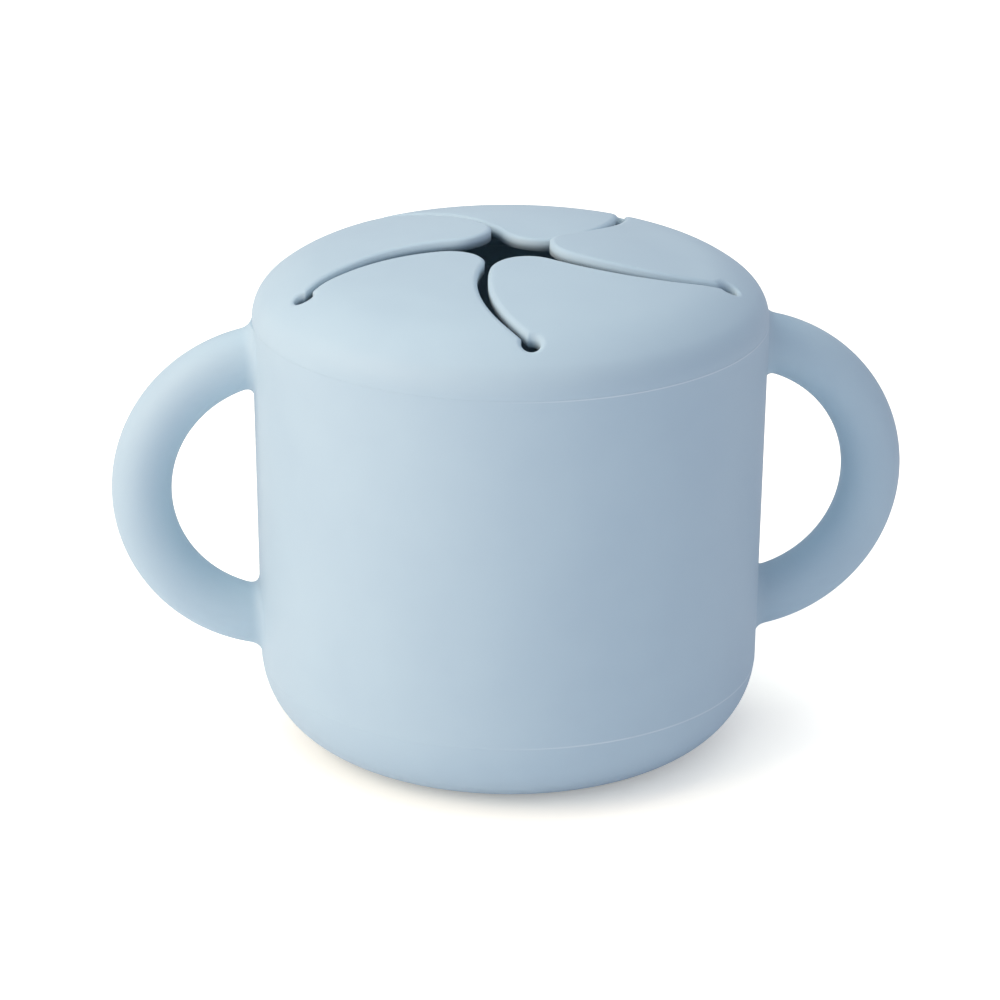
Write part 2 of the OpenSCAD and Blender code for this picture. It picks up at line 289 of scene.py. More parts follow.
# outline of the cup's half section in lines and arcs, from near the axis under the base
# round to near the axis on the floor
def cupSection(v):
    baseX = wallFoot + wallSlope * v["baseRound"] - v["baseRound"] * wallLean
    hollowR = baseX - v["footRing"]
    innerFoot = wallFoot - v["wall"] * wallLean
    innerZ = v["floor"] + v["innerRound"]
    innerX = innerFoot + wallSlope * innerZ - v["innerRound"] * wallLean
    seamZ = v["seamZ"]
    mouth = innerFoot + wallSlope * seamZ
    rimR = mouth + v["rimWall"]
    rimRound = v["rimRound"]
    roundZ = seamZ + v["rimHeight"] - rimRound  # centre of the rim's rounded top
    rimFoot = v["rimFootRound"]
    edge = v["edgeRound"]
    hollow, hollowRound, footRound = v["footHollow"], v["hollowRound"], v["footRound"]
    # the base round has extra points where the mould line crosses it
    lineZ = v["mouldLineZ"] + v["mouldLineWidth"] * np.linspace(-3, 3, 25)
    lineAngles = np.degrees(np.arcsin(lineZ / v["baseRound"] - 1))
    roundAngles = np.unique(np.concatenate([np.linspace(-90, -v["draft"], 40), lineAngles]))
    bottom = np.concatenate([
        linePoints([6.0, hollow], [hollowR - 2.4, hollow], 4),
        arcPoints([hollowR - 2.0, hollow - hollowRound], hollowRound, 90, 45, 4),
        arcPoints([hollowR - 0.3, footRound], footRound, 225, 270, 4),
        linePoints([hollowR + 0.6, 0], [baseX - 0.5, 0], 5),
        [baseX, v["baseRound"]] + v["baseRound"] * unitVectors(roundAngles),
    ])
    wallZ = np.concatenate([
        np.linspace(v["baseRound"] + 0.6, seamZ - 1.2, 44),
        np.linspace(seamZ - 1.0, seamZ - edge - 0.02, 10),
    ])
    wallLine = np.stack([wallRadius(wallZ), wallZ], axis=-1)
    top = np.concatenate([
        arcPoints([v["topR"] - edge, seamZ - edge], edge, 10, 90, 6),
        linePoints([v["topR"] - edge - 0.2, seamZ], [rimR + 0.3, seamZ], 3),
        arcPoints([rimR + rimFoot, seamZ + rimFoot], rimFoot, 270, 180, 4),
        linePoints([rimR, seamZ + 0.6], [rimR, roundZ - 0.1], 3),
        arcPoints([rimR - rimRound, roundZ], rimRound, 0, 90, 7),
        arcPoints([mouth + rimRound, roundZ], rimRound, 90, 180, 7),
    ])
    insideZ = np.linspace(seamZ, innerZ + 0.5, 30)
    inside = np.concatenate([
        np.stack([innerFoot + wallSlope * insideZ, insideZ], axis=-1),
        arcPoints([innerX, innerZ], v["innerRound"], -v["draft"], -90, 24),
        linePoints([innerX - 2.0, v["floor"]], [4.0, v["floor"]], 6),
    ])
    section = np.concatenate([bottom, wallLine, top, inside])
    # the mould's fine line stands out of the outer skin: height * exp(-((z - lineZ) / width)^2)
    outer = np.arange(len(section)) < len(bottom) + len(wallLine)
    fromLine = (section[:, 1] - v["mouldLineZ"]) / v["mouldLineWidth"]
    lineHeight = v["mouldLineHeight"] * np.exp(-fromLine ** 2)
    section[:, 0] += np.where(outer & (section[:, 0] > baseX), lineHeight, 0)
    return section


# section turned round the axis: (r cos a, r sin a, z), with its two ends closed at the axis
def revolve(section, turns):
    around = unitVectors(np.arange(turns) * 360 / turns)
    points = np.concatenate([
        section[None, :, :1] * around[:, None, :],
        np.broadcast_to(section[None, :, 1:], (turns, len(section), 1)),
    ], axis=-1).reshape(-1, 3)
    index = np.arange(turns * len(section)).reshape(turns, len(section))
    ends = np.array([[0, 0, section[0, 1]], [0, 0, section[-1, 1]]])
    fans = endFans(index, len(points), len(points) + 1)
    return np.concatenate([points, ends]), gridFaces(index, wrapRows=True), fans


cupPoints, cupQuads, cupFans = revolve(cupSection(cup), cup["turns"])
cupBody = makePiece("cupBody", cupPoints, cupQuads, siliconeSkin, fans=cupFans)
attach(cupBody, "cup")
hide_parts("cup")

handle = {
    "reach": 25.0,  # how far the loop stands out from the wall
    "loopR": 24.6,
    "barR": 5.25,
    "drop": 0.5,  # how far the loop's top lies below the seam
    "fillet": 2.1,  # size of the soft root where bar and wall run together
    "spread": 3.0,  # how far the root runs out over the wall
    "rootFrom": 62.0,  # the root's rows start at this angle of the loop, 0 being its outermost point
    "searchFrom": 50.0,  # the bar enters the wall between these angles
    "searchTo": 95.0,
    "underLid": 0.3,  # the root keeps this far below the seam
    "tuck": 0.02,  # its last row on the wall lies this deep in it
    "sunk": 1.2,  # and the row that closes it this deep
    "around": 72,  # points round the bar
    "along": 70,  # and along it
    "barRows": 16,  # rows of a root that start on the bar
    "wallRows": 12,  # and on the wall
}
handle["x"] = cup["topR"] + handle["reach"] - handle["loopR"] - handle["barR"]
handle["z"] = cup["seamZ"] - handle["drop"] - handle["loopR"] - handle["barR"]
settling = {
    "halvings": 40,  # of the search for where the bar enters the wall
    "rounds": 8,  # in which the root's points move onto its surface
    "nudge": 0.001,  # over which the slope there is measured
    "leastSlope": 0.05,  # its square counts as at least this
}


# a point of the bar's skin: loop centre + (loopR + barR cos t) along the loop's angle b,
# and barR sin t sideways
def barSkin(b, t, v):
    out = v["loopR"] + v["barR"] * np.cos(t)
    sideways = v["barR"] * np.sin(t) + 0 * b
    return np.stack([v["x"] + out * np.cos(b), sideways, v["z"] + out * np.sin(b)], axis=-1)


# distances to the bar's skin and to the cup's wall, joined by a quadratic smooth minimum:
# min(a, b) - h^2 k / 4, h = max(k - |a - b|, 0) / k
def rootField(p, v):
    bar = np.hypot(np.hypot(p[..., 0] - v["x"], p[..., 2] - v["z"]) - v["loopR"], p[..., 1]) - v["barR"]
    wall = (np.hypot(p[..., 0], p[..., 1]) - wallRadius(p[..., 2])) / wallLean
    h = np.maximum(v["fillet"] - np.abs(bar - wall), 0) / v["fillet"]
    return np.minimum(bar, wall) - h * h * v["fillet"] / 4


# points moved down the field's slope until they lie on its zero surface: p - f g / |g|^2
def settleOnRoot(p, v):
    nudge = settling["nudge"]
    for _ in range(settling["rounds"]):
        sides = [(rootField(p + s, v) - rootField(p - s, v)) / (2 * nudge) for s in nudge * np.eye(3)]
        slope = np.stack(sides, axis=-1)
        steepness = np.maximum(np.sum(slope * slope, axis=-1), settling["leastSlope"])
        p = p - (rootField(p, v) / steepness)[..., None] * slope
    return p


# one end of a handle, from the bar to the wall, for each angle t round the bar; up is 1 or -1.
# It starts as the bar's skin and then the wall's, and settles on the field that joins them.
def handleRoot(up, t, v):
    low, high = np.full(len(t), v["searchFrom"]), np.full(len(t), v["searchTo"])
    for _ in range(settling["halvings"]):
        middle = (low + high) / 2
        p = barSkin(np.radians(up * middle), t, v)
        outside = np.hypot(p[:, 0], p[:, 1]) > wallRadius(p[:, 2])
        low, high = np.where(outside, middle, low), np.where(outside, high, middle)
    meet = barSkin(np.radians(up * low), t, v)  # where bar and wall would meet without a fillet
    centre = np.array([0, v["z"] + up * math.sqrt(v["loopR"] ** 2 - (cup["topR"] - v["x"]) ** 2)])
    away = meet[:, 1:] - centre
    away = away / np.linalg.norm(away, axis=1, keepdims=True)
    spread = meet[:, 1:] + v["spread"] * away
    wallX = np.sqrt(wallRadius(spread[:, 1]) ** 2 - spread[:, 0] ** 2)
    onWall = np.concatenate([wallX[:, None], spread], axis=1)
    share = np.linspace(0, 1, v["barRows"])[None, :]
    angles = np.radians(up * (v["rootFrom"] + (low[:, None] - v["rootFrom"]) * share))
    barPart = barSkin(angles, t[:, None], v)
    share = np.linspace(0, 1, v["wallRows"])[None, 1:, None]
    wallPart = meet[:, None] + (onWall - meet)[:, None] * share
    p = settleOnRoot(np.concatenate([barPart, wallPart], axis=1), v)
    p[..., 2] = np.minimum(p[..., 2], cup["seamZ"] - v["underLid"])  # nothing of the handle lies on the lid
    closing = p[:, -1:].copy()
    closing[..., 0] -= v["sunk"]
    p[:, -1, 0] -= v["tuck"]
    return np.concatenate([p, closing], axis=1)


# a loop handle: the bar's skin between its two roots, closed inside the wall; side is 1 or -1
def makeHandle(name, side, v):
    t = np.radians(np.arange(v["around"]) * 360 / v["around"])
    middle = np.radians(np.linspace(-v["rootFrom"], v["rootFrom"], v["along"])[1:-1])
    bar = barSkin(middle[None, :], t[:, None], v)
    rows = np.concatenate([handleRoot(-1, t, v)[:, ::-1], bar, handleRoot(1, t, v)], axis=1)
    rows[..., 0] *= side
    index = np.arange(rows.shape[0] * rows.shape[1]).reshape(rows.shape[:2])
    points = rows.reshape(-1, 3)
    ends = np.stack([rows[:, 0].mean(axis=0), rows[:, -1].mean(axis=0)])
    fans = endFans(index, len(points), len(points) + 1)
    quads = gridFaces(index, wrapRows=True)
    piece = makePiece(name, np.concatenate([points, ends]), quads, siliconeSkin, fans=fans)
    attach(piece, "cup")
    return piece


handleLeft = makeHandle("handleLeft", -1, handle)
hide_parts("handle_left")
handleRight = makeHandle("handleRight", 1, handle)
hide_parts("handle_right")

# what the lid's rim and its flaps share
lid = {
    "shoulderR": 7.0,
    "shoulderTurn": 51.0,  # the shoulder's arc ends here, and the flatter crown begins
    "crownR": 21.0,
    "domeR": 160.0,
    "wall": 2.3,
    "seamGap": 0.005,  # the soft lid rests on the cup
    "edgeRound": 0.015,  # the lid's lower edge, at the seam
    "edgeStep": 0.02,  # how far it stands back from the cup's wall
    "edgeStepReach": 1.4,  # and over what height
    "fitGap": 0.25,  # from the cup's upstand and mouth
    "grooveFootRound": 0.2,
    "sealWall": 1.2,
    "sealRoundShare": 0.4,  # of sealWall
    "sealDepth": 4.0,
    "beadOut": 0.12,
    "beadUp": 1.2,  # the bead's middle above the sealing ring's round
    "beadWidth": 0.4,
    "flaps": 5,
    "firstSlit": -91.4,  # direction of the front end hole
    "holeR": 1.7,
    "holeMargin": 0.45,
    "slitBow": 6.4,
    "slitOuter": 1.3,  # width at the end hole
    "slitInner": 1.9,  # width from halfway inwards
    "tipR": 6.8,
    "bendInset": 4.5,
    "bendHalf": 22.2,  # from the middle of a flap's bending line to its end at the slit
    "softR": 0.95,  # how far the rounding along slits and holes reaches, above
    "underR": 0.35,  # and below
    "edgeLean": 0.72,  # sine of the skin's turn where it meets the wall of the slit
    "cornerR": 0.5,  # corner between a slit and its hole
    "rimStart": 41.5,  # the rim's section is fixed from this radius outwards
}
shoulderX = cup["topR"] - lid["shoulderR"]
crownShift = lid["crownR"] - lid["shoulderR"]
crownX = shoulderX - crownShift * math.cos(math.radians(lid["shoulderTurn"]))
crownZ = cup["seamZ"] - crownShift * math.sin(math.radians(lid["shoulderTurn"]))
domeRise = math.sqrt((lid["domeR"] - lid["crownR"]) ** 2 - crownX ** 2)
domeZ = crownZ - domeRise
crownShare = crownX / (lid["domeR"] - lid["crownR"])  # cosine where crown and dome meet
mouthR = wallRadius(cup["seamZ"]) - cup["wall"] * wallLean
sealOuter = mouthR - lid["fitGap"]
sealInner = sealOuter - lid["sealWall"]
holeCircle = sealInner - lid["holeMargin"] - lid["holeR"]
slitR = ((holeCircle / 2) ** 2 + lid["slitBow"] ** 2) / (2 * lid["slitBow"])
slitCentre = np.array([holeCircle / 2, slitR - lid["slitBow"]])
slitHalf = math.degrees(math.asin(holeCircle / 2 / slitR))
sector = 360 / lid["flaps"]
slitDirections = [lid["firstSlit"] + k * sector for k in range(lid["flaps"])]
partR = math.hypot(holeCircle, lid["holeR"])  # rim and flaps part on this circle, unseen
partAngle = math.degrees(math.atan2(lid["holeR"], holeCircle))
bendX = holeCircle * math.cos(math.radians(sector / 2)) - lid["bendInset"]
# rows of points follow an opening's edge at these distances, times softR
softRows = np.array([0, 0.04, 0.10, 0.20, 0.34, 0.52, 0.75, 1.0])
innerRows = np.linspace(0, 1, 23)[1:]  # and then, in a flap, at these shares of the way to its spine


# height and slope of the lid's skin at a distance r from the axis, offset inwards: three arcs
# z = c + sqrt(R^2 - (r - x)^2), for the dome, the crown round it and the shoulder outside
def lidSkin(r, inwards):
    domeR, crownR, shoulderR = (lid[key] - inwards for key in ("domeR", "crownR", "shoulderR"))
    onDome = r < domeR * crownShare
    onCrown = ~onDome & (r < crownX + crownR * math.cos(math.radians(lid["shoulderTurn"])))
    radius = np.where(onDome, domeR, np.where(onCrown, crownR, shoulderR))
    across = r - np.where(onDome, 0, np.where(onCrown, crownX, shoulderX))
    across = np.clip(across, 0, radius * 0.9999)  # the slope stays finite
    rise = np.sqrt(radius ** 2 - across ** 2)
    centre = np.where(onDome, domeZ, np.where(onCrown, crownZ, cup["seamZ"]))
    return centre + rise, -across / rise


# the skin with its edges rounded, and its normals: a point at distance d from an opening's edge, less
# than soft, lies side * (q - sqrt(q^2 - (soft - d)^2)) lower, q = soft / edgeLean; side is 1 above and
# -1 below, and towards is the unit vector to the edge
def softSkin(xy, d, towards, inwards, soft, side):
    r = np.linalg.norm(xy, axis=-1)
    height, slope = lidSkin(r, inwards)
    q = soft / lid["edgeLean"]
    reach = np.clip(soft - d, 0, soft)
    height = height - side * (q - np.sqrt(q ** 2 - reach ** 2))
    radial = xy / np.maximum(r, tiny)[..., None]
    normal = np.concatenate([-slope[..., None] * radial, np.ones_like(r)[..., None]], axis=-1)
    normal = side * normal / np.linalg.norm(normal, axis=-1, keepdims=True)
    lean = (reach / q)[..., None]
    flat = np.concatenate([towards, np.zeros_like(r)[..., None]], axis=-1)
    normal = np.sqrt(1 - lean ** 2) * normal + lean * flat
    points = np.concatenate([xy, height[..., None]], axis=-1)
    return points, normal / np.linalg.norm(normal, axis=-1, keepdims=True)


# distance from each point p to the nearest of the segments a + t (b - a), and the unit vector towards it
def toSegments(p, a, b):
    ab = b - a
    t = np.clip(np.sum((p[:, None] - a) * ab, axis=-1) / np.sum(ab * ab, axis=-1), 0, 1)
    gap = a + t[..., None] * ab - p[:, None]
    length = np.linalg.norm(gap, axis=-1)
    best = np.argmin(length, axis=1)
    rows = np.arange(len(p))
    return length[rows, best], gap[rows, best] / np.maximum(length[rows, best], tiny)[:, None]


flap = {
    "rest": {1: -0.4, 2: 2.3, 3: -2.8, 4: 0.6, 5: -3.0},  # angle by which each has set above the dome
    "bendBefore": 4.4,  # the bend's reach outside a flap's bending line
    "bendAfter": 4.6,  # and inside it
    "rootReach": 9.0,  # along its outline, where a flap is drawn to the parting circle
    "spineFree": 0.6,  # beyond this share of tipR the spine is shortened
    "spinePress": 0.35,  # to this share of its length
    "holeCount": 12,  # points along the outline's parts
    "cornerCount": 8,
    "edgeCount": 60,
    "tipCount": 31,
}


# half the slit's width at a share s of its length, 0 at its end hole:
# (outer + (inner - outer) sin(pi s)) / 2 as far as halfway, and inner / 2 from there
def slitHalfWidth(share):
    grow = np.sin(np.pi / 2 * np.minimum(1, 2 * share))
    return (lid["slitOuter"] + (lid["slitInner"] - lid["slitOuter"]) * grow) / 2


# a slit's edge: its circle's centre + (slitR + side * halfWidth + extra) * (cos a, sin a)
def slitEdge(share, side, turn, extra=0.0):
    angle = -90 + slitHalf - 2 * slitHalf * share + turn
    radius = slitR + side * slitHalfWidth(share) + extra
    return turned(slitCentre, turn) + radius[:, None] * unitVectors(angle)


# half of a flap's outline, from the end hole in direction turn to where the tip's arc begins:
# an arc of the hole, the corner's arc, and the slit's edge; sign is 1 or -1, the way round the hole
def flapSide(turn, side, sign, tip):
    hole = holeCircle * unitVectors(turn)[0]
    cornerR = lid["cornerR"]
    # the corner's centre is cornerR from the slit's edge and from the hole, within the slit's first 0.3
    share = np.linspace(0, 0.3, 3000)
    reach = np.linalg.norm(slitEdge(share, side, turn, side * cornerR) - hole, axis=1)
    startShare = float(np.interp(lid["holeR"] + cornerR, reach, share))
    corner = slitEdge(np.array([startShare]), side, turn, side * cornerR)[0]
    sideways = turn + sign * 90
    toCorner = angleOf(corner - hole)
    holeEnd = sideways + shortTurn(sideways, toCorner)
    holePart = arcPoints(hole, lid["holeR"], sideways, holeEnd, flap["holeCount"])
    back = toCorner + 180
    outwards = angleOf(slitEdge(np.array([startShare]), side, turn)[0] - corner)
    cornerPart = arcPoints(corner, cornerR, back, back + shortTurn(back, outwards), flap["cornerCount"])[1:]
    toTip = angleOf(tip - turned(slitCentre, turn))
    endShare = shortTurn(toTip, -90 + slitHalf + turn) / (2 * slitHalf)
    edgePart = slitEdge(np.linspace(startShare, endShare, flap["edgeCount"])[1:], side, turn)
    return np.concatenate([holePart, cornerPart, edgePart])


# the flap's outline seen from above, from one end hole round the tip to the other
def flapOutline():
    half = sector / 2
    halfW = lid["slitInner"] / 2
    centreA, centreB = turned(slitCentre, -half), turned(slitCentre, half)
    # the tip's centre lies tipR inside both slit edges: where two circles cross
    radiusA, radiusB = slitR - halfW - lid["tipR"], slitR + halfW + lid["tipR"]
    between = centreB - centreA
    gap = np.linalg.norm(between)
    alongAB = (radiusA ** 2 - radiusB ** 2 + gap ** 2) / (2 * gap)
    aside = math.sqrt(radiusA ** 2 - alongAB ** 2)
    unitAB = between / gap
    crossings = [centreA + alongAB * unitAB + s * aside * np.array([-unitAB[1], unitAB[0]]) for s in (1, -1)]
    tip = min(crossings, key=np.linalg.norm)
    sideA, sideB = flapSide(-half, -1, 1, tip), flapSide(half, 1, -1, tip)
    first = angleOf(tip - centreA)
    last = first + shortTurn(first, angleOf(centreB - tip))
    tipPart = arcPoints(tip, lid["tipR"], first, last, flap["tipCount"])[1:-1]
    return np.concatenate([sideA, tipPart, sideB[::-1]]), tip


outline, tipCentre = flapOutline()
outlineCount = len(outline)
middleOf = outlineCount // 2
pairs = (outline + outline[::-1]) / 2
# the flap's spine runs between the outline's paired points, and stops short of the tip
tipWay = (outline[middleOf] - tipCentre) / lid["tipR"]
ahead = (pairs - tipCentre) @ tipWay
full = flap["spineFree"] * lid["tipR"]
pressed = np.where(ahead > full, full + (ahead - full) * flap["spinePress"], ahead)
spine = pairs + (pressed - ahead)[:, None] * tipWay
spine = np.where(np.arange(outlineCount)[:, None] <= middleOf, spine, spine[::-1])
reachToSpine = np.linalg.norm(spine - outline, axis=1)
softShare = lid["softR"] / reachToSpine[0]
rootShares = np.concatenate([softRows * softShare, softShare + (1 - softShare) * innerRows])
# the same angles serve the rim, so that the pieces meet point to point
rootAngles = partAngle + (sector / 2 - partAngle) * rootShares


# a flap's points seen from above: (1 - s) outline(t) + s spine(t), with rows at fixed distances
# from the outline first, and its outer end drawn onto the parting circle
def flapPlan():
    soft = np.tile(lid["softR"] * softRows, (outlineCount, 1))
    rest = lid["softR"] + (reachToSpine - lid["softR"])[:, None] * innerRows
    distances = np.concatenate([soft, rest], axis=1)
    way = (spine - outline) / reachToSpine[:, None]
    plan = outline[:, None] + distances[..., None] * way[:, None]
    half = sector / 2
    arcA = partR * unitVectors(-half + rootAngles)
    arcB = partR * unitVectors(half - rootAngles)
    along = np.concatenate([[0], np.cumsum(np.linalg.norm(np.diff(outline, axis=0), axis=1))])
    nearA = (1 - smoothStep(along, 0, flap["rootReach"]))[:, None, None]
    nearB = (1 - smoothStep(along[-1] - along, 0, flap["rootReach"]))[:, None, None]
    plan = plan + nearA * (arcA - plan[0]) + nearB * (arcB - plan[-1])
    plan[middleOf + 1:, -1] = plan[:middleOf, -1][::-1]
    return plan


plan = flapPlan()
holesBeside = holeCircle * unitVectors([-sector / 2, sector / 2])


# distance to the flap's own edges, which are its outline and its two end holes (|p - hole| - holeR),
# and the unit vector towards the nearest
def flapEdgeDistance(p):
    flat = p.reshape(-1, 2)
    d, towards = toSegments(flat, outline[:-1], outline[1:])
    for hole in holesBeside:
        gap = hole - flat
        reach = np.linalg.norm(gap, axis=1)
        closer = reach - lid["holeR"] < d
        d = np.where(closer, reach - lid["holeR"], d)
        towards = np.where(closer[:, None], gap / reach[:, None], towards)
    return np.maximum(d, 0).reshape(p.shape[:-1]), towards.reshape(p.shape)


bendMidR = (bendX + math.hypot(bendX, lid["bendHalf"])) / 2
bendZ = float(lidSkin(np.array([bendMidR]), 0)[0][0]) - lid["wall"] / 2


# the flap bent about its own line by an angle that grows with 3t^2 - 2t^3 across the bend;
# a normal follows the inverse transpose of the map's own slope
def bentAtRest(points, normals, degrees):
    start, end = bendX + flap["bendBefore"], bendX - flap["bendAfter"]
    t = np.clip((start - points[:, 0]) / (start - end), 0, 1)
    angle = math.radians(degrees) * t * t * (3 - 2 * t)
    growth = math.radians(degrees) * 6 * t * (1 - t) / (end - start)  # change of angle with x
    x, z = points[:, 0] - bendX, points[:, 2] - bendZ
    c, s = np.cos(angle), np.sin(angle)
    moved = points.copy()
    moved[:, 0] = bendX + c * x + s * z
    moved[:, 2] = bendZ - s * x + c * z
    slope = np.zeros((len(points), 3, 3))
    slope[:, 0, 0] = c + growth * (-s * x + c * z)
    slope[:, 0, 2] = s
    slope[:, 1, 1] = 1
    slope[:, 2, 0] = -s + growth * (-c * x - s * z)
    slope[:, 2, 2] = c
    bent = np.einsum("nji,nj->ni", np.linalg.inv(slope), normals)
    return moved, bent / np.linalg.norm(bent, axis=1, keepdims=True)


# a flap: the plan's points on the lid's soft skin above and below, closed along its outline,
# bent to its own rest and turned to its place
def makeFlap(number, restAngle):
    d, towards = flapEdgeDistance(plan)
    d[:, 0], towards[:, 0] = 0, towards[:, 1]  # on the edge itself the way to it has no direction
    above, aboveNormal = softSkin(plan, d, towards, 0.0, lid["softR"], 1)
    under, underNormal = softSkin(plan, d, towards, lid["wall"], lid["underR"], -1)
    count = plan.shape[1]
    index = np.arange(outlineCount * count).reshape(outlineCount, count)
    index[middleOf + 1:, -1] = index[:middleOf, -1][::-1]  # both sides share the spine
    lower = index + outlineCount * count
    quads = np.concatenate([
        gridFaces(index),
        gridFaces(lower)[:, ::-1],
        gridFaces(np.stack([lower[:, 0], index[:, 0]], axis=1)),
        gridFaces(np.stack([lower[0], index[0]], axis=1))[:, ::-1],
        gridFaces(np.stack([lower[-1], index[-1]], axis=1)),
    ])
    points = np.concatenate([above.reshape(-1, 3), under.reshape(-1, 3)])
    normals = np.concatenate([aboveNormal.reshape(-1, 3), underNormal.reshape(-1, 3)])
    points, normals = bentAtRest(points, normals, restAngle)
    facing = lid["firstSlit"] + (number - 0.5) * sector
    points[:, :2] = turned(points[:, :2], facing)
    normals[:, :2] = turned(normals[:, :2], facing)
    used, quads = np.unique(quads, return_inverse=True)
    piece = makePiece(f"flap{number}", points[used], quads.reshape(-1, 4), siliconeSkin,
                      exact=normals[used], exactAt=np.ones(len(used), bool))
    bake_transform(piece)
    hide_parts(f"flap_{number}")


for flapNumber, flapRest in flap["rest"].items():
    makeFlap(flapNumber, flapRest)

rimRows = {
    "shoulder": np.linspace(0, 1, 7)[1:-1],  # shares of the way from the soft edge to the shoulder
    "softest": 0.9,  # the rounding takes at most this share of that way
    "under": 0.42,  # the lower side's wide rows end this far from the opening
    "underWide": np.array([0.02, 0.35, 0.7]),  # shares of the way there from the sealing ring
    "underNear": np.array([0.4, 0.3, 0.2, 0.1, 0.04, 0]),  # distances from the opening
}


# the rim's section in lines and arcs: shoulder, lower edge, groove over the cup's upstand,
# sealing ring with its bead beadOut * exp(-((z - middle) / beadWidth)^2), and up to the underside
def rimSection():
    bottom = cup["seamZ"] + lid["seamGap"]
    edge = lid["edgeRound"]
    grooveOuter = mouthR + cup["rimWall"] + lid["fitGap"]
    grooveRound = cup["rimRound"] + lid["fitGap"]
    footRound = lid["grooveFootRound"]
    grooveZ = cup["seamZ"] + cup["rimHeight"] + lid["fitGap"] - grooveRound  # centre of its rounded top
    sealBottom = cup["seamZ"] - lid["sealDepth"]
    sealRound = lid["sealRoundShare"] * lid["sealWall"]
    beadZ = np.linspace(sealBottom + 3.2, sealBottom + sealRound + 0.2, 14)
    beadMiddle = sealBottom + sealRound + lid["beadUp"]
    bead = sealOuter + lid["beadOut"] * np.exp(-((beadZ - beadMiddle) / lid["beadWidth"]) ** 2)
    lowEdge = math.degrees(math.asin((lid["seamGap"] + edge) / lid["shoulderR"]))
    crownStart = math.degrees(math.acos((lid["rimStart"] - crownX) / lid["crownR"]))
    turn = lid["shoulderTurn"]
    shoulder = arcPoints([shoulderX, cup["seamZ"]], lid["shoulderR"], turn, lowEdge, 26)
    # just above the seam the lid draws back a little from the cup's wall
    back = 1 - smoothStep(shoulder[:, 1], bottom, bottom + lid["edgeStepReach"])
    shoulder[:, 0] -= lid["edgeStep"] * back
    corner = shoulder[-1] - [edge, 0]
    underZ = float(lidSkin(np.array(sealInner), lid["wall"])[0])
    return np.concatenate([
        arcPoints([crownX, crownZ], lid["crownR"], crownStart, turn, 4)[:-1],
        shoulder,
        arcPoints(corner, edge, 0, -90, 7)[1:],
        linePoints([corner[0] - 0.3, bottom], [grooveOuter + 0.4, bottom], 2),
        arcPoints([grooveOuter + footRound, bottom + footRound], footRound, 270, 180, 4),
        arcPoints([grooveOuter - grooveRound, grooveZ], grooveRound, 0, 90, 7),
        arcPoints([sealOuter + grooveRound, grooveZ], grooveRound, 90, 180, 7),
        np.stack([bead, beadZ], axis=-1),
        arcPoints([sealOuter - sealRound, sealBottom + sealRound], sealRound, 0, -90, 5),
        arcPoints([sealInner + sealRound, sealBottom + sealRound], sealRound, -90, -180, 5),
        linePoints([sealInner, sealBottom + 1.2], [sealInner, underZ - 0.1], 8),
    ])


# the rim's inner boundary as an angle and a radius for each spoke: half of each end hole,
# and the parting circle between
def rimBoundary():
    hole = lid["holeR"] * unitVectors(np.linspace(-90, 90, 25)) + [holeCircle, 0]
    angles = np.degrees(np.arctan2(hole[:, 1], hole[:, 0]))
    radii = np.linalg.norm(hole, axis=1)
    there = rootAngles[1:]
    back = (sector - rootAngles[::-1])[1:-1]
    angles = np.concatenate([angles, there, back])
    radii = np.concatenate([radii, np.full(len(there) + len(back), partR)])
    return np.concatenate([angles + a for a in slitDirections]), np.tile(radii, lid["flaps"])


# the lid without its flaps: the soft skin from the openings to rimStart, above and below,
# joined by the rim's section turned round the axis
def makeRim():
    angles, inner = rimBoundary()
    fixed = rimSection()
    inner = inner[:, None]
    soft = np.minimum(lid["softR"], rimRows["softest"] * (lid["rimStart"] - inner))
    aboveR = np.concatenate([inner + soft * softRows,
                             inner + soft + (lid["rimStart"] - inner - soft) * rimRows["shoulder"]], axis=1)
    underR = np.concatenate([sealInner + (inner + rimRows["under"] - sealInner) * rimRows["underWide"],
                             inner + rimRows["underNear"]], axis=1)
    way = unitVectors(angles)
    holes = holeCircle * unitVectors(slitDirections)

    # softSkin on rows of radii, rounded by their distance to the nearest hole: |p - hole| - holeR
    def skin(radii, inwards, soft, side):
        xy = radii[..., None] * way[:, None]
        gap = holes[None, None] - xy[:, :, None]
        reach = np.linalg.norm(gap, axis=-1)
        best = np.argmin(reach, axis=-1)[..., None]
        d = np.take_along_axis(reach, best, axis=-1)[..., 0]
        towards = np.take_along_axis(gap, best[..., None], axis=2)[:, :, 0] / d[..., None]
        return softSkin(xy, np.maximum(d - lid["holeR"], 0), towards, inwards, soft, side)

    above, aboveNormal = skin(aboveR, 0.0, lid["softR"], 1)
    under, underNormal = skin(underR, lid["wall"], lid["underR"], -1)
    ring = np.concatenate([fixed[None, :, :1] * way[:, None],
                           np.broadcast_to(fixed[None, :, 1:], (len(way), len(fixed), 1))], axis=-1)
    grid = np.concatenate([above, ring, under], axis=1)
    normals = np.concatenate([aboveNormal, np.zeros_like(ring), underNormal], axis=1)
    exactAt = np.zeros(grid.shape[:2], bool)
    exactAt[:, :above.shape[1]] = True
    exactAt[:, -under.shape[1]:] = True
    index = np.arange(grid.shape[0] * grid.shape[1]).reshape(grid.shape[:2])
    quads = gridFaces(index, wrapRows=True, wrapColumns=True)
    piece = makePiece("lidRim", grid.reshape(-1, 3), quads, siliconeSkin,
                      exact=normals.reshape(-1, 3), exactAt=exactAt.reshape(-1))
    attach(piece, "lid")
    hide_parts("lid")


makeRim()

